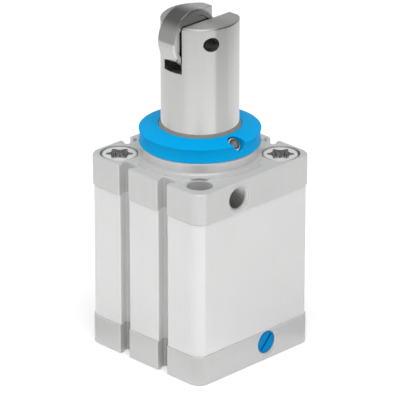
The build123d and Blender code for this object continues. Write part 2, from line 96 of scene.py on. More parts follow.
# A quarter turn from a turned piece's tangent, so that reflections smear across the lines
SMEAR_TURN = 0.25

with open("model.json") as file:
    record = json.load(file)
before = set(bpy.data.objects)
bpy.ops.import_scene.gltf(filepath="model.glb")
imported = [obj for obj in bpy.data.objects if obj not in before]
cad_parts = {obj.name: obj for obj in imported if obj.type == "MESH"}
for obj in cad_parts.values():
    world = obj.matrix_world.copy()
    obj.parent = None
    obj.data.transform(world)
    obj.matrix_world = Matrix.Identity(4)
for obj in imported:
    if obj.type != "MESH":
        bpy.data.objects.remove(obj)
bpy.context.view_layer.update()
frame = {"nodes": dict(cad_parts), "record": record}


# Properties

def length(name, mm, description):
    """A size property; its default is given in millimetres."""
    return FloatProperty(name=name, description=description, default=mm * MM, min=0, unit="LENGTH",
                         precision=5)


def share(name, default, description, top=1.0):
    """A plain number between nought and top."""
    return FloatProperty(name=name, description=description, default=default, min=0, max=top,
                         subtype="FACTOR")


def colour(name, default, description):
    """A linear colour."""
    return FloatVectorProperty(name=name, description=description, default=default, size=3, min=0,
                               max=1, subtype="COLOR")


def angle(name, degrees, description):
    """An angle property; its default is given in degrees."""
    return FloatProperty(name=name, description=description, default=radians(degrees),
                         subtype="ANGLE")


def power(name, watts, description):
    """A lamp's power."""
    return FloatProperty(name=name, description=description, default=watts, min=0, unit="POWER")


class BodyFinish(bpy.types.PropertyGroup):
    """Colours and grain of the aluminium body."""
    barrel: colour("Barrel", (0.81, 0.81, 0.805), "Anodised extrusion of the barrel")
    cap: colour("Caps", (0.67, 0.67, 0.665), "Milled and anodised caps")
    # The lower cap has the caps' milled finish with a darker colour: painted shade near the floor
    end_cap: colour("End cap", (0.61, 0.61, 0.605), "The lower cap, darker as painted shade near the floor")
    # Edge colour: partly bare metal worn through, partly a painted glint along the edges
    edge_wear_glint: colour("Worn and glinting edge", (0.96, 0.96, 0.95), "Brighter metal along the edges")
    # The port thread is the cut metal's grey set a little darker than the caps: partly its own colour,
    # partly painted shade inside the port
    thread: colour("Port thread", (0.62, 0.62, 0.61), "Cut thread in the air port")
    # Brighter colour along the thread's edges: a painted glint
    crest: colour("Port thread crest", (0.7, 0.7, 0.69), "Brighter metal along that thread's edges")
    barrel_roughness: share("Barrel roughness", 0.30, "Gloss of the barrel")
    cap_roughness: share("Cap roughness", 0.36, "Gloss of the caps")
    sheen: share("Metal share", 0.35, "Share of metal reflection; the rest is the matt anodic layer")
    collar_foot: length("Collar foot", 84.6, "Height above which the bearing cap is turned")
    collar_sheen: share("Collar metal share", 0.42, "Share of metal reflection on the turned collar")
    collar_roughness: share("Collar roughness", 0.36, "Gloss of the turned collar")
    line_depth: length("Line depth", 0.0015, "Height of the extrusion and milling lines")
    edge_width: length("Edge width", 0.3, "Rounding that catches light along the edges")


class SteelFinish(bpy.types.PropertyGroup):
    """Colours and grain of the rod, the roller and the screws."""
    rod: colour("Rod", (0.70, 0.70, 0.69), "Fine turned rod")
    roller: colour("Roller", (0.62, 0.62, 0.61), "Ground roller")
    screw: colour("Screws", (0.80, 0.80, 0.79), "Zinc plated screws")
    pin: colour("Guide pin", (0.66, 0.66, 0.65), "Ground pin that keeps the rod from turning")
    # The axle's near-black colour is painted shade: it darkens the axle's end deep in the ear's hole
    axle: colour("Axle", (0.10, 0.10, 0.10), "Roller axle, near black as painted shade in its hole")
    spring: colour("Spring", (0.36, 0.36, 0.37), "Oiled spring wire")
    piston: colour("Piston", (0.62, 0.62, 0.61), "Turned piston halves")
    # Edge colour: partly bare steel worn through, partly a painted glint along the edges
    edge_wear_glint: colour("Worn and glinting edge", (0.9, 0.9, 0.89), "Brighter metal along the edges")
    rod_roughness: share("Rod roughness", 0.26, "Gloss of the rod")
    roller_roughness: share("Roller roughness", 0.16, "Gloss of the roller")
    screw_roughness: share("Screw roughness", 0.14, "Gloss of the screws")
    face_sheen: share("Screw face metal share", 0.3, "Share of metal reflection on the screws' ends")
    face_roughness: share("Screw face roughness", 0.5, "Gloss of the screws' ends")
    end_depth: length("Rod end", 0.2, "How far down the finish of the fork's ends reaches")
    end_sheen: share("Rod end metal share", 0.86, "Share of metal reflection on the fork's ends")
    end_roughness: share("Rod end roughness", 0.42, "Gloss of the fork's ends")
    brushing: share("Brushing", 0.75, "How far turned lines smear the reflections")
    line_depth: length("Line depth", 0.0015, "Height of the turned lines")
    edge_width: length("Edge width", 0.15, "Rounding that catches light along the edges")


class PlasticFinish(bpy.types.PropertyGroup):
    """Colours of the moulded, rubber and bronze pieces."""
    ring: colour("Ring", (0.0, 0.37, 0.78), "Blue of the index ring")
    plug: colour("Plug", (0.0, 0.26, 0.62), "Blue of the vent plug")
    wiper: colour("Wiper", (0.26, 0.235, 0.22), "Grey-brown wiper and guide ring")
    rubber: colour("Rubber", (0.02, 0.02, 0.02), "Seals, O-rings and bumpers")
    bronze: colour("Bronze", (0.58, 0.40, 0.20), "Sintered bearing bushes")
    # Edge colour: partly wear, partly a painted glint along the edges
    bronze_edge: colour("Bronze edge", (0.7, 0.52, 0.3), "Brighter bronze along the edges")
    magnet: colour("Magnet", (0.05, 0.05, 0.055), "Plastic bonded magnet ring")
    gloss: share("Ring roughness", 0.42, "Gloss of the blue pieces")
    specular: share("Specular level", 0.04, "Weak mirror share that keeps the blue full")
    grain_depth: length("Grain depth", 0.01, "Height of the moulded grain")


class ThreadSizes(bpy.types.PropertyGroup):
    """Sizes of the threads inside the port and the collar screws."""
    port_pitch: length("Port pitch", 0.907, "Pitch of the port's pipe thread")
    port_depth: length("Port thread height", 0.5, "Height of the port's thread")
    port_start: length("Port start", 0.3, "Plain bore between the port's mouth and its thread")
    port_gap: length("Port gap", 0.01, "Space between the port's bore and the thread's sleeve")
    screw_pitch: length("Screw pitch", 1.25, "Pitch of the thread in the collar screws")
    socket: length("Socket depth", 5.0, "Depth of the collar screws' sockets, above that thread")
    screw_depth: length("Screw thread height", 0.25, "Part of that thread that stands in the bore")
    sleeve: length("Sleeve", 0.05, "Wall behind each thread")
    steps: IntProperty(name="Steps", description="Corners in one turn of a thread", default=48,
                       min=12, max=96)


class SpringSizes(bpy.types.PropertyGroup):
    """Sizes of the return spring; its height and diameter come from the model."""
    wire: length("Wire", 2.8, "Diameter of the wire")
    turns: IntProperty(name="Turns", description="Turns of the wire, with a closed one at each end",
                       default=7, min=3, max=20)
    closed_pitch: length("Closed pitch", 2.95, "Rise of a closed turn")
    tip: length("Tip height", 0.5, "Height of the wire's middle at its ground tip")
    steps: IntProperty(name="Steps", description="Corners in one turn of the spring", default=40,
                       min=12, max=96)
    sides: IntProperty(name="Sides", description="Corners round the wire", default=18, min=6, max=48)


class StageSettings(bpy.types.PropertyGroup):
    """Camera, lamps and floor."""
    distance: length("Camera distance", 1600, "From the camera to the point that it looks at")
    aim_height: length("Aim height", 63.5, "Height of that point above the floor")
    azimuth: angle("Azimuth", 45.3, "Turn of the camera round the object")
    elevation: angle("Elevation", 23.5, "Slope at which the camera looks down")
    lens: FloatProperty(name="Lens", description="Focal length on a 36 mm sensor", default=351,
                        min=1, unit="CAMERA")
    key_power: power("Key", 8.0, "Soft lamp high above, a little to the camera's right")
    left_power: power("Left", 1.05, "Soft lamp low on the left")
    right_power: power("Right", 0.25, "Soft lamp low on the right")
    sky: share("Sky", 1.75, "White light of the sky at its brightest", top=4.0)
    back_wall: share("Back wall", 0.2, "How far the wall behind the object dims the sky")
    floor_radius: length("Floor radius", 4000, "Size of the round floor")
    floor: colour("Floor", (0.76, 0.76, 0.76), "Pale floor")
    lift: share("Floor lift", 0.35, "How much whiter the camera sees the floor under the object")
    far_lift: share("Far floor lift", 0.45, "The same away from the object, where lamps reach less")
    near_radius: length("Near floor", 120, "Radius where the floor starts to lighten")
    far_radius: length("Far floor", 420, "Radius where it is lightest")
    screen_level: share("Screens", 1.08, "Brightness of the screens that only reflections see", top=4.0)
    screen_radius: length("Screen radius", 220, "Low ring of reflector screens round the object")
    screen_height: length("Screen height", 330, "Height of those screens")
    screen_hole: length("Screen hole", 50, "Radius that their part on the floor leaves free")
    screen_shade: share("Screen shade", 0.75, "Brightness of that part beside the object")
    screen_foot: length("Screen foot", 0.3, "Height of their part on the floor")
    screen_step: length("Screen step", 66, "Height where their low part meets their high part")
    screen_blur: share("Screen blur", 0.2, "Share of that height over which the two blend each way")


class StopperSettings(bpy.types.PropertyGroup):
    """Everything that can be changed on the stopper cylinder's looks."""
    body: PointerProperty(type=BodyFinish)
    steel: PointerProperty(type=SteelFinish)
    plastic: PointerProperty(type=PlasticFinish)
    threads: PointerProperty(type=ThreadSizes)
    spring: PointerProperty(type=SpringSizes)
    stage: PointerProperty(type=StageSettings)


# Shader nodes

def add(tree, kind, inputs=None, **settings):
    """Adds one shader node. An input is a plain value, or another node's output to link."""
    new = tree.nodes.new("ShaderNode" + kind)
    for key, value in settings.items():
        setattr(new, key, value)
    for key, value in (inputs or {}).items():
        if isinstance(value, bpy.types.NodeSocket):
            tree.links.new(value, new.inputs[key])
        else:
            new.inputs[key].default_value = value
    return new


def calc(tree, operation, *values, **settings):
    """Adds a Math node on plain values or outputs, and returns its output."""
    return add(tree, "Math", dict(enumerate(values)), operation=operation, **settings).outputs[0]


def ramp(tree, value, stops):
    """Colour ramp through the stops, each a place from nought to one and a grey level."""
    node = add(tree, "ValToRGB", {"Fac": value})
    elements = node.color_ramp.elements
    elements.remove(elements[-1])
    for place, level in stops:
        stop = elements[0] if place == stops[0][0] else elements.new(place)
        stop.position = place
        stop.color = (level, level, level, 1)
    return node.outputs[0]


def new_group(name, inputs, outputs):
    """An empty node group; inputs and outputs map each socket's name to its kind."""
    tree = bpy.data.node_groups.new(name, "ShaderNodeTree")
    for direction, sockets in (("INPUT", inputs), ("OUTPUT", outputs)):
        for socket, kind in sockets.items():
            tree.interface.new_socket(socket, in_out=direction, socket_type="NodeSocket" + kind)
    return tree, tree.nodes.new("NodeGroupInput").outputs, tree.nodes.new("NodeGroupOutput").inputs


def use_group(tree, name, inputs):
    """Places a group in a material and returns its outputs."""
    return add(tree, "Group", inputs, node_tree=bpy.data.node_groups[name]).outputs


def build_edge_wear_and_glint():
    """Edge mask for wear and painted glints: how far a rounded normal leans from the true one."""
    tree, given, result = new_group("edge wear", {"Width": "Float"},
                                    {"Mask": "Float", "Rounded Normal": "Vector"})
    rounded = add(tree, "Bevel", {"Radius": given["Width"]}, samples=6)
    surface = add(tree, "NewGeometry")
    lean = add(tree, "VectorMath", {0: rounded.outputs[0], 1: surface.outputs["Normal"]},
               operation="DOT_PRODUCT")
    mask = add(tree, "MapRange", {"Value": lean.outputs["Value"], "From Min": EDGE_WEAR_AND_GLINT[0],
                                  "From Max": EDGE_WEAR_AND_GLINT[1]})
    tree.links.new(mask.outputs[0], result["Mask"])
    tree.links.new(rounded.outputs[0], result["Rounded Normal"])


def build_turned_place():
    """Place on a turned piece: distance from the Z axis, height, and angle in turns."""
    tree, given, result = new_group("turned place", {"Place": "Vector"}, {"Place": "Vector"})
    part = add(tree, "SeparateXYZ", {0: given["Place"]}).outputs
    square = calc(tree, "ADD", calc(tree, "MULTIPLY", part[0], part[0]),
                  calc(tree, "MULTIPLY", part[1], part[1]))
    turns = calc(tree, "DIVIDE", calc(tree, "ARCTAN2", part[1], part[0]), tau)
    joined = add(tree, "CombineXYZ", {0: calc(tree, "SQRT", square), 1: part[2], 2: turns})
    tree.links.new(joined.outputs[0], result["Place"])


def build_worked_metal():
    """Colour, roughness, normal of metal: fine lines, cloudy tone, worn edges with a painted glint."""
    line_tone, cloud_tone, cloud_gloss = 0.10, 0.08, 0.8
    tree, given, result = new_group(
        "worked metal",
        {"Place": "Vector", "Lines": "Vector", "Clouds": "Float", "Base": "Color", "Edge": "Color",
         "Roughness": "Float", "Spread": "Float", "Depth": "Float", "Width": "Float"},
        {"Color": "Color", "Roughness": "Float", "Normal": "Vector"})
    stretched = add(tree, "VectorMath", {0: given["Place"], 1: given["Lines"]}, operation="MULTIPLY")
    lines = add(tree, "TexNoise", {"Vector": stretched.outputs[0], "Scale": 1.0, "Detail": 4.0,
                                   "Roughness": 0.65}).outputs[0]
    clouds = add(tree, "TexNoise", {"Vector": given["Place"], "Scale": given["Clouds"], "Detail": 3.0,
                                    "Roughness": 0.5}).outputs[0]
    edges = use_group(tree, "edge wear", {"Width": given["Width"]})
    tone = calc(tree, "ADD", calc(tree, "MULTIPLY", lines, line_tone),
                calc(tree, "MULTIPLY", clouds, cloud_tone))
    tone = calc(tree, "ADD", tone, 1 - (line_tone + cloud_tone) / 2)
    toned = add(tree, "VectorMath", {0: given["Base"], "Scale": tone}, operation="SCALE")
    # The edges take the brighter edge colour: partly wear, partly a painted glint
    worn_and_glinting = add(tree, "Mix", {"Factor": edges["Mask"], 6: toned.outputs[0], 7: given["Edge"]},
               data_type="RGBA")
    tree.links.new(worn_and_glinting.outputs[2], result["Color"])
    varied = calc(tree, "ADD", calc(tree, "SUBTRACT", lines, 0.5),
                  calc(tree, "MULTIPLY", calc(tree, "SUBTRACT", clouds, 0.5), cloud_gloss))
    rough = calc(tree, "MULTIPLY_ADD", varied, given["Spread"], given["Roughness"], use_clamp=True)
    tree.links.new(rough, result["Roughness"])
    bump = add(tree, "Bump", {"Height": lines, "Distance": given["Depth"], "Strength": 1.0,
                              "Normal": edges["Rounded Normal"]})
    tree.links.new(bump.outputs[0], result["Normal"])


def build_moulded_grain():
    """Colour, roughness and normal of a moulded or rubber surface: fine grain, slight cloudiness."""
    cloud_scale, cloud_tone, edge_glint_tone, grain_gloss, grain_strength = 90.0, 0.14, 0.12, 0.16, 0.6
    tree, given, result = new_group(
        "moulded grain",
        {"Place": "Vector", "Grain": "Float", "Base": "Color", "Roughness": "Float",
         "Depth": "Float", "Width": "Float"},
        {"Color": "Color", "Roughness": "Float", "Normal": "Vector"})
    grain = add(tree, "TexNoise", {"Vector": given["Place"], "Scale": given["Grain"], "Detail": 3.0,
                                   "Roughness": 0.6}).outputs[0]
    clouds = add(tree, "TexNoise", {"Vector": given["Place"], "Scale": cloud_scale,
                                    "Detail": 2.0}).outputs[0]
    edges = use_group(tree, "edge wear", {"Width": given["Width"]})
    tone = calc(tree, "ADD", calc(tree, "MULTIPLY", clouds, cloud_tone), 1 - cloud_tone / 2)
    # The edges are painted lighter by the edge tone: a painted glint
    tone = calc(tree, "ADD", tone, calc(tree, "MULTIPLY", edges["Mask"], edge_glint_tone))
    toned = add(tree, "VectorMath", {0: given["Base"], "Scale": tone}, operation="SCALE")
    tree.links.new(toned.outputs[0], result["Color"])
    rough = calc(tree, "MULTIPLY_ADD", calc(tree, "SUBTRACT", grain, 0.5), grain_gloss,
                 given["Roughness"], use_clamp=True)
    tree.links.new(rough, result["Roughness"])
    bump = add(tree, "Bump", {"Height": grain, "Distance": given["Depth"],
                              "Strength": grain_strength, "Normal": edges["Rounded Normal"]})
    tree.links.new(bump.outputs[0], result["Normal"])


def level_mask(tree):
    """Mask of the faces that lie level."""
    upright = add(tree, "SeparateXYZ", {0: add(tree, "NewGeometry").outputs["Normal"]}).outputs[2]
    return add(tree, "MapRange", {"Value": calc(tree, "ABSOLUTE", upright), "From Min": LEVEL[0],
                                  "From Max": LEVEL[1]}).outputs[0]


def height_mask(tree, low):
    """Mask of what lies above a height."""
    height = add(tree, "SeparateXYZ", {0: add(tree, "TexCoord").outputs["Object"]}).outputs[2]
    return calc(tree, "GREATER_THAN", height, low)


def new_material(name):
    """An empty material with its output node."""
    material = bpy.data.materials.new(name)
    material.use_nodes = True
    material.node_tree.nodes.clear()
    return material, material.node_tree, add(material.node_tree, "OutputMaterial")


def finish_material(tree, end, surface, metallic, tangent_axis=None, brushing=0.0, specular=0.5):
    """Links a finish group's outputs to a Principled shader, with its plain values set on it."""
    shader = add(tree, "BsdfPrincipled", {
        "Base Color": surface["Color"], "Roughness": surface["Roughness"], "Normal": surface["Normal"],
        "Metallic": metallic, "Anisotropic": brushing, "Anisotropic Rotation": SMEAR_TURN,
        "Specular IOR Level": specular})
    if tangent_axis:
        tangent = add(tree, "Tangent", direction_type="RADIAL", axis=tangent_axis)
        tree.links.new(tangent.outputs[0], shader.inputs["Tangent"])
    tree.links.new(shader.outputs[0], end.inputs["Surface"])
    return shader


def metal(name, base, edge, roughness, spread, depth, width, lines, clouds=60.0, axis=None,
          centre=(0, 0, 0), brushing=0.0, metallic=1.0, zone=None):
    """Worked metal. With an axis the lines run round it through the centre, otherwise they follow
    the stretch given in lines, which is how many repeats there are in a metre each way. A zone is
    a mask function, its further value if it has one, and the metal share and the roughness where
    the mask is one."""
    material, tree, end = new_material(name)
    place = add(tree, "TexCoord").outputs["Object"]
    if axis:
        turn = (0, radians(-90), 0) if axis == "X" else (0, 0, 0)
        centred = add(tree, "VectorMath", {0: place, 1: centre}, operation="SUBTRACT")
        turned = add(tree, "Mapping", {"Vector": centred.outputs[0], "Rotation": turn})
        place = use_group(tree, "turned place", {"Place": turned.outputs[0]})[0]
    surface = use_group(tree, "worked metal", {
        "Place": place, "Lines": lines, "Clouds": clouds, "Base": (*base, 1), "Edge": (*edge, 1),
        "Roughness": roughness, "Spread": spread, "Depth": depth, "Width": width})
    shader = finish_material(tree, end, surface, metallic, axis, brushing)
    if zone:
        mask, *value, zone_metallic, zone_roughness = zone
        inside = mask(tree, *value)
        for socket, there, offset in (("Metallic", metallic, zone_metallic - metallic),
                                      ("Roughness", surface["Roughness"], zone_roughness - roughness)):
            tree.links.new(calc(tree, "MULTIPLY_ADD", inside, offset, there), shader.inputs[socket])
    return material


def moulded(name, base, roughness, depth, grain=2500.0, width=0.2 * MM, specular=0.5):
    """Plastic or rubber with a fine grain."""
    material, tree, end = new_material(name)
    surface = use_group(tree, "moulded grain", {
        "Place": add(tree, "TexCoord").outputs["Object"], "Grain": grain, "Base": (*base, 1),
        "Roughness": roughness, "Depth": depth, "Width": width})
    finish_material(tree, end, surface, 0.0, specular=specular)
    return material


def dress(material, *nodes):
    """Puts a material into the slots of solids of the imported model."""
    for name in nodes:
        for slot in frame["nodes"][name].material_slots:
            slot.material = material


# Surfaces

def sheet_mesh(name, points, closed_rows=False):
    """Object of a grid of points, rows by columns. With closed rows the last row joins the first.
    Doubled points are joined, which closes the seams where the last column meets the first, faces
    without area are dropped, and all faces are turned outwards."""
    join_distance = 1e-7
    rows, columns = points.shape[:2]
    index = np.arange(rows * columns).reshape(rows, columns)
    if closed_rows:
        index = np.vstack([index, index[:1]])
    faces = np.stack([index[:-1, :-1], index[1:, :-1], index[1:, 1:], index[:-1, 1:]], axis=-1)
    mesh = bpy.data.meshes.new(name)
    mesh.from_pydata(points.reshape(-1, 3).tolist(), [], faces.reshape(-1, 4).tolist())
    shape = bmesh.new()
    shape.from_mesh(mesh)
    bmesh.ops.remove_doubles(shape, verts=shape.verts, dist=join_distance)
    bmesh.ops.dissolve_degenerate(shape, edges=shape.edges, dist=join_distance)
    bmesh.ops.recalc_face_normals(shape, faces=shape.faces)
    shape.to_mesh(mesh)
    shape.free()
    piece = bpy.data.objects.new(name, mesh)
    bpy.context.scene.collection.objects.link(piece)
    return piece


def thread_sleeve(bore_r, height, pitch, depth, wall, steps):
    """Thin sleeve with an inner screw thread, its axis on Z and its ends at z = 0 and z = depth.

    Radius = bore radius less the wall, less the thread's height times its tooth. The tooth is a
    function of the phase, the count of threads passed: nought over the root, a straight flank, one
    over the crest and a flank back. z = pitch x (phase + turn), held between the two ends. The
    outer wall closes the sleeve."""
    knots = np.array([0.0, 0.12, 0.42, 0.58, 0.88])
    tooth = np.array([0.0, 0.0, 1.0, 1.0, 0.0])
    threads = int(depth / pitch) + 3
    phase = (np.arange(threads)[:, None] - 1 + knots).ravel()
    turn = np.linspace(0, 1, steps + 1)
    z = np.clip(pitch * (phase[:, None] + turn), 0, depth)
    r = bore_r - wall - height * np.tile(tooth, threads)[:, None] + 0 * turn
    outer = np.full((2, steps + 1), bore_r)
    z = np.vstack([z, np.full((1, steps + 1), depth), np.zeros((1, steps + 1))])
    r = np.vstack([r, outer])
    return np.stack([r * np.cos(tau * turn), r * np.sin(tau * turn), z], axis=-1)


def ground_spring(coil_r, wire_r, foot, top, turns, closed_pitch, tip, steps, sides):
    """Closed and ground compression spring on the Z axis.

    The wire's middle is coil radius x (cos turn, sin turn). Its height rises by the closed pitch in
    each turn, and between the end turns by as much more as reaches the top. That extra rise sets in
    three quarters of a turn from each tip and is full half a turn further on. Round the middle goes
    a circle of the wire's radius, square to the wire, which shrinks to a point at both tips. Heights
    are held between foot and top, which grinds the two ends flat."""
    closed_part, opening_part = 0.75, 0.5
    count = turns * steps
    along = np.linspace(0, turns, count + 1)
    opened = np.clip(np.minimum(along, turns - along) - closed_part, 0, opening_part)
    climb = np.concatenate([[0], np.cumsum(opened[1:] + opened[:-1])])
    spare = top - foot - 2 * tip - turns * closed_pitch
    rise = foot + tip + closed_pitch * along + spare * climb / climb[-1]
    slope = np.gradient(rise, tau * coil_r * along)
    tilt = 1 / np.hypot(1, slope)
    outward = np.stack([np.cos(tau * along), np.sin(tau * along), 0 * along], axis=-1)
    upward = np.stack([slope * tilt * np.sin(tau * along), -slope * tilt * np.cos(tau * along), tilt],
                      axis=-1)
    middle = coil_r * outward + rise[:, None] * np.array([0, 0, 1])
    middle, outward, upward = (np.concatenate([line[:1], line, line[-1:]])[None]
                               for line in (middle, outward, upward))
    reach = np.full((1, count + 3, 1), wire_r)
    reach[0, [0, -1]] = 0
    round_wire = np.linspace(0, tau, sides, endpoint=False)[:, None, None]
    points = middle + reach * (np.cos(round_wire) * outward + np.sin(round_wire) * upward)
    points[..., 2] = np.clip(points[..., 2], foot, top)
    return points


def dish(radius, rings, steps):
    """Flat round sheet at z = 0: place = radius x share x (cos turn, sin turn)."""
    part = np.linspace(0, 1, rings)[:, None] * radius
    turn = np.linspace(0, tau, steps + 1)
    return np.stack([part * np.cos(turn), part * np.sin(turn), 0 * part + 0 * turn], axis=-1)


# Operators

class STOPPER_OT_groups(bpy.types.Operator):
    """Build the node groups that the finishes share"""
    bl_idname = "stopper.groups"
    bl_label = "Finish Groups"

    def execute(self, context):
        build_edge_wear_and_glint()
        build_turned_place()
        build_worked_metal()
        build_moulded_grain()
        return {"FINISHED"}


class STOPPER_OT_body(bpy.types.Operator):
    """Give the barrel and the caps their anodised aluminium"""
    bl_idname = "stopper.body"
    bl_label = "Barrel and Caps"

    def execute(self, context):
        s = context.scene.stopper.body
        common = {"edge": s.edge_wear_glint, "depth": s.line_depth, "width": s.edge_width, "metallic": s.sheen}
        dress(metal("anodised_barrel", s.barrel, roughness=s.barrel_roughness, spread=0.05,
                    lines=EXTRUDED, clouds=45, **common), "barrel")
        common |= {"roughness": s.cap_roughness, "spread": 0.12, "lines": MILLED, "clouds": 80}
        dress(metal("milled_cap", s.cap, **common,
                    zone=(height_mask, s.collar_foot, s.collar_sheen, s.collar_roughness)),
              "bearing_cap")
        # Same finish as the caps, painted darker: painted shade near the floor
        dress(metal("milled_end_cap", s.end_cap, **common), "end_cap")
        return {"FINISHED"}


class STOPPER_OT_steel(bpy.types.Operator):
    """Give the rod, the roller, the screws and the spring their steel"""
    bl_idname = "stopper.steel"
    bl_label = "Rod, Roller and Screws"

    def execute(self, context):
        s = context.scene.stopper.steel
        low, high = (Vector(corner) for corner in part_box("roller"))
        rod_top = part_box("piston_rod")[1][2]
        common = {"edge": s.edge_wear_glint, "depth": s.line_depth, "width": s.edge_width, "lines": FINE_TURNED}
        dress(metal("turned_rod", s.rod, roughness=s.rod_roughness, spread=0.06, axis="Z",
                    brushing=s.brushing, **common | {"lines": TURNED},
                    zone=(height_mask, rod_top - s.end_depth, s.end_sheen, s.end_roughness)),
              "piston_rod")
        dress(metal("ground_roller", s.roller, roughness=s.roller_roughness, spread=0.08, axis="X",
                    centre=(low + high) / 2, brushing=s.brushing, **common), "roller")
        dress(metal("plated_screw", s.screw, roughness=s.screw_roughness, spread=0.1, **common,
                    zone=(level_mask, s.face_sheen, s.face_roughness)),
              "top_collar_screws", "bottom_collar_screws", "ring_clamp_screw", "piston_washer",
              "piston_screw")
        dress(metal("ground_pin", s.pin, roughness=s.rod_roughness, spread=0.08, **common),
              "guide_pin")
        # Near-black axle: painted shade in the ear's hole
        dress(metal("hardened_pin", s.axle, roughness=0.3, spread=0.12, **common), "roller_axle")
        dress(metal("spring_wire", s.spring, roughness=0.42, spread=0.2, **common), "return_spring")
        dress(metal("turned_piston", s.piston, roughness=0.35, spread=0.12, axis="Z",
                    brushing=0.5, **common), "upper_piston", "lower_piston")
        return {"FINISHED"}


class STOPPER_OT_plastic(bpy.types.Operator):
    """Give the ring, the plug, the seals and the bushes their materials"""
    bl_idname = "stopper.plastic"
    bl_label = "Ring, Plug and Seals"

    def execute(self, context):
        s = context.scene.stopper.plastic
        depth = s.grain_depth
        dress(moulded("blue_ring", s.ring, s.gloss, depth, specular=s.specular), "index_ring")
        dress(moulded("blue_plug", s.plug, s.gloss, depth, specular=s.specular), "vent_plug")
        dress(moulded("wiper_plastic", s.wiper, roughness=0.5, depth=depth),
              "rod_wiper", "piston_guide_ring")
        dress(moulded("seal_rubber", s.rubber, roughness=0.55, depth=depth),
              "rod_seal", "upper_o_ring", "lower_o_ring", "upper_bumper", "lower_bumper", "piston_seal")
        dress(moulded("bonded_magnet", s.magnet, roughness=0.5, depth=depth), "piston_magnet")
        dress(metal("sintered_bronze", s.bronze, edge=s.bronze_edge, roughness=0.45, spread=0.2,
                    depth=depth, width=0.1 * MM, lines=SINTERED),
              "rod_bush", "pin_bush", "roller_bush")
        return {"FINISHED"}


class STOPPER_OT_threads(bpy.types.Operator):
    """Cut the threads inside the air port and the collar screws"""
    bl_idname = "stopper.threads"
    bl_label = "Threads"

    def execute(self, context):
        s = context.scene.stopper.threads
        body = context.scene.stopper.body
        mounts = {mount["name"]: mount for mount in frame["record"]["mounts"]}
        port = mounts["air_port"]
        r, span = port["dims"]["r_mm"] * MM, port["dims"]["length_mm"] * MM
        sleeve = thread_sleeve(r - s.port_gap, s.port_depth, s.port_pitch, span - s.port_start,
                               s.sleeve, s.steps)
        # With X and Z exchanged the sleeve lies along X, as the port does
        lying = sleeve[..., ::-1]
        place = np.array(port["pos_m"]) - (span / 2, 0, 0)
        piece = sheet_mesh("port_thread", lying + place, closed_rows=True)
        # Cut metal set a little darker: partly its own colour, partly painted shade inside the port
        piece.data.materials.append(metal("cut_thread", body.thread, body.crest, roughness=0.4,
                                          spread=0.15, depth=0.002 * MM, width=0.05 * MM, lines=CUT))
        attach(piece, "housing")
        for side, mount, up in (("top", "top_threads", 1), ("bottom", "base_threads", -1)):
            hole = mounts[mount]["dims"]
            low, high = (Vector(corner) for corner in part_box(side + "_collar_screws"))
            span = high.z - low.z - s.socket
            sleeve = thread_sleeve(hole["hole_r_mm"] * MM, s.screw_depth, s.screw_pitch, span,
                                   s.sleeve, s.steps)
            # The two screws stand on one diagonal of the body, at 45 degrees to X and Y
            reach = hole["pcd_mm"] * MM / 2 * cos(radians(45))
            foot = low.z if up > 0 else low.z + s.socket
            for name, way in (("left", -1), ("right", 1)):
                piece = sheet_mesh(f"{side}_screw_thread_{name}",
                                   sleeve + (way * reach, way * reach, foot), closed_rows=True)
                piece.data.materials.append(bpy.data.materials["plated_screw"])
                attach(piece, "housing")
        return {"FINISHED"}


class STOPPER_OT_spring(bpy.types.Operator):
    """Wind the return spring in place of the model's one"""
    bl_idname = "stopper.spring"
    bl_label = "Return Spring"

    def execute(self, context):
        s = context.scene.stopper.spring
        low, high = (Vector(corner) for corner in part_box("return_spring"))
        wire_r = s.wire / 2
        coil_r = (high.x - low.x) / 2 - wire_r
        points = ground_spring(coil_r, wire_r, low.z, high.z, s.turns, s.closed_pitch, s.tip, s.steps,
                               s.sides)
        piece = sheet_mesh("wound_return_spring", points, closed_rows=True)
        piece.data.materials.append(bpy.data.materials["spring_wire"])
        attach(piece, "housing")
        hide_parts("return_spring")
        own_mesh(piece)
        return {"FINISHED"}


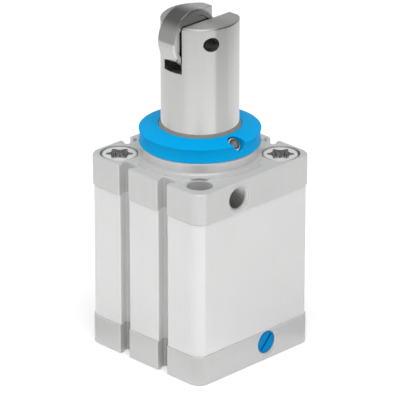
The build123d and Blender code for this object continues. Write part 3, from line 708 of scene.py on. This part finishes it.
class STOPPER_OT_stage(bpy.types.Operator):
    """Set up the white floor, the lamps and the camera"""
    bl_idname = "stopper.stage"
    bl_label = "Stage"

    def execute(self, context):
        s = context.scene.stopper.stage
        target = Vector((0, 0, s.aim_height))
        self.light_world(context.scene, s)
        floor = sheet_mesh("floor", dish(s.floor_radius, rings=12, steps=64))
        floor.data.materials.append(self.floor_finish(s))
        self.put_screens(s)
        # The blue ring would tint the foot of the steel above it, which is grey all the way down
        frame["nodes"]["index_ring"].visible_glossy = False
        for name, (turn, rise, far, size) in LAMPS.items():
            self.hang_lamp(name, target, radians(turn), radians(rise), far, size,
                           watts=getattr(s, name + "_power"))
        data = bpy.data.cameras.new("camera")
        data.lens = s.lens
        data.clip_start = 0.01
        data.clip_end = 20
        camera = self.aim(data, target, s.azimuth, s.elevation, s.distance)
        context.scene.camera = camera
        context.scene.view_settings.view_transform = "Standard"
        return {"FINISHED"}

    @staticmethod
    def aim(data, target, azimuth, elevation, distance):
        """Object that looks at the target from a direction; azimuth 0 looks along +Y."""
        back = Vector((sin(azimuth) * cos(elevation), -cos(azimuth) * cos(elevation), sin(elevation)))
        placed = bpy.data.objects.new(data.name, data)
        placed.location = target + back * distance
        placed.rotation_euler = back.to_track_quat("Z", "Y").to_euler()
        bpy.context.scene.collection.objects.link(placed)
        return placed

    def hang_lamp(self, name, target, azimuth, elevation, distance, size, watts):
        """Square soft lamp that faces the object; reflections show the screens in its place."""
        data = bpy.data.lights.new(name, "AREA")
        data.size = size
        data.energy = watts
        self.aim(data, target, azimuth, elevation, distance).visible_glossy = False

    @staticmethod
    def put_screens(s):
        """Screens that only reflections see; they give the round steel its soft bands. Their profile,
        a level part on the floor and an upright wall, goes round the Z axis."""
        # The wall's flat panels stand up to one hundredth inside its radius
        panels, panel_sag = 96, 0.99
        turn = np.linspace(0, tau, panels + 1)
        profile = np.array([(s.screen_hole, s.screen_foot), (s.screen_radius, s.screen_foot),
                            (s.screen_radius, s.screen_height)])
        far, height = profile[:, :1], profile[:, 1:]
        ring = np.stack([far * np.cos(turn), far * np.sin(turn), height + 0 * turn], axis=-1)
        screens = sheet_mesh("screens", ring)
        for ray in ("camera", "diffuse", "shadow", "transmission", "volume_scatter"):
            setattr(screens, "visible_" + ray, False)
        material, tree, end = new_material("screens")
        place = use_group(tree, "turned place", {"Place": add(tree, "TexCoord").outputs["Object"]})[0]
        far, rise, turns = add(tree, "SeparateXYZ", {0: place}).outputs
        turns = calc(tree, "FRACT", turns)
        foot, low, high = (ramp(tree, turns, sorted((((azimuth - 90) / 360) % 1, level)
                                                    for azimuth, level in levels))
                           for levels in (FLOOR_SCREENS, LOW_SCREENS, HIGH_SCREENS))
        fade = ramp(tree, calc(tree, "DIVIDE", rise, s.screen_height),
                    [(mm * MM / s.screen_height, level) for mm, level in FADE])
        upper = add(tree, "MapRange", {"Value": rise,
                                       "From Min": s.screen_step * (1 - s.screen_blur),
                                       "From Max": s.screen_step * (1 + s.screen_blur)},
                    interpolation_type="SMOOTHSTEP")
        high = add(tree, "VectorMath", {0: high, 1: fade}, operation="MULTIPLY")
        upright = calc(tree, "GREATER_THAN", far, s.screen_radius * panel_sag)
        shaded = add(tree, "MapRange", {"Value": far, "From Min": s.screen_hole,
                                        "From Max": s.screen_hole * 2,
                                        "To Min": s.screen_shade}).outputs[0]
        foot = add(tree, "VectorMath", {0: foot, "Scale": shaded}, operation="SCALE").outputs[0]
        low = add(tree, "Mix", {"Factor": upright, 6: foot, 7: low}, data_type="RGBA").outputs[2]
        shades = add(tree, "Mix", {"Factor": upper.outputs[0], 6: low, 7: high.outputs[0]},
                     data_type="RGBA").outputs[2]
        glow = add(tree, "Emission", {"Color": shades, "Strength": s.screen_level})
        tree.links.new(glow.outputs[0], end.inputs["Surface"])
        screens.data.materials.append(material)

    @staticmethod
    def light_world(scene, s):
        """White to the camera. Otherwise brightest overhead, darkest at mid height and half bright at
        the horizon, and a little dimmer towards the wall behind the object."""
        world = bpy.data.worlds.new("white studio")
        world.use_nodes = True
        tree = world.node_tree
        tree.nodes.clear()
        heading = add(tree, "TexCoord").outputs["Generated"]
        rise = add(tree, "SeparateXYZ", {0: heading}).outputs[2]
        shades = ramp(tree, rise, [(sin(radians(height)), level) for height, level in SKY])
        back = add(tree, "VectorMath", {0: heading, 1: WALL_WAY}, operation="DOT_PRODUCT").outputs["Value"]
        wall = add(tree, "MapRange", {"Value": back, "From Min": WALL_FADE[0], "From Max": WALL_FADE[1],
                                      "To Min": s.sky, "To Max": s.sky * (1 - s.back_wall)},
                   interpolation_type="SMOOTHSTEP")
        level = add(tree, "Math", {0: shades, 1: wall.outputs[0]}, operation="MULTIPLY")
        seen = add(tree, "LightPath").outputs["Is Camera Ray"]
        strength = add(tree, "Mix", {0: seen, 2: level.outputs[0], 3: 1.0}, data_type="FLOAT")
        white = add(tree, "Background", {"Color": (1, 1, 1, 1), "Strength": strength.outputs[0]})
        end = add(tree, "OutputWorld", {"Surface": white.outputs[0]})
        end.is_active_output = True
        scene.world = world

    @staticmethod
    def floor_finish(s):
        """Matt floor that the camera and reflections see a little whiter than it is lit."""
        material, tree, end = new_material("pale_floor")
        place = add(tree, "TexCoord").outputs["Object"]
        speckle = add(tree, "TexNoise", {"Vector": place, "Scale": 400.0, "Detail": 2.0}).outputs[0]
        away = add(tree, "VectorMath", {0: place}, operation="LENGTH").outputs["Value"]
        lift = add(tree, "MapRange", {"Value": away, "From Min": s.near_radius, "From Max": s.far_radius,
                                      "To Min": s.lift, "To Max": s.far_lift},
                   interpolation_type="SMOOTHSTEP").outputs[0]
        rough_spread, least_rough = 0.1, 0.85
        rough = calc(tree, "MULTIPLY_ADD", speckle, rough_spread, least_rough)
        matt = add(tree, "BsdfPrincipled", {"Base Color": (*s.floor, 1), "Roughness": rough,
                                            "Specular IOR Level": 0.0})
        path = add(tree, "LightPath").outputs
        seen = calc(tree, "ADD", calc(tree, "ADD", path["Is Camera Ray"], path["Is Glossy Ray"]),
                    path["Is Transmission Ray"], use_clamp=True)
        glow = add(tree, "Emission", {"Color": (1, 1, 1, 1),
                                      "Strength": calc(tree, "MULTIPLY", seen, lift)})
        both = add(tree, "AddShader", {0: matt.outputs[0], 1: glow.outputs[0]})
        tree.links.new(both.outputs[0], end.inputs["Surface"])
        return material


OPERATORS = (STOPPER_OT_groups, STOPPER_OT_body, STOPPER_OT_steel, STOPPER_OT_plastic,
             STOPPER_OT_threads, STOPPER_OT_spring, STOPPER_OT_stage)
SETTINGS = (BodyFinish, SteelFinish, PlasticFinish, ThreadSizes, SpringSizes, StageSettings,
            StopperSettings)


class STOPPER_PT_panel(bpy.types.Panel):
    """Buttons that build the looks of the stopper cylinder, in order"""
    bl_idname = "STOPPER_PT_panel"
    bl_label = "Stopper Cylinder"
    bl_space_type = "VIEW_3D"
    bl_region_type = "UI"
    bl_category = "Stopper"

    def draw(self, context):
        for operator in OPERATORS:
            self.layout.operator(operator.bl_idname)


def register():
    for kind in (*SETTINGS, *OPERATORS, STOPPER_PT_panel):
        bpy.utils.register_class(kind)
    bpy.types.Scene.stopper = PointerProperty(type=StopperSettings)


def unregister():
    del bpy.types.Scene.stopper
    for kind in reversed((*SETTINGS, *OPERATORS, STOPPER_PT_panel)):
        bpy.utils.unregister_class(kind)


def main():
    """Builds everything in order."""
    register()
    bpy.ops.stopper.groups()
    bpy.ops.stopper.body()
    bpy.ops.stopper.steel()
    bpy.ops.stopper.plastic()
    bpy.ops.stopper.threads()
    bpy.ops.stopper.spring()
    bpy.ops.stopper.stage()


if __name__ == "__main__":
    main()
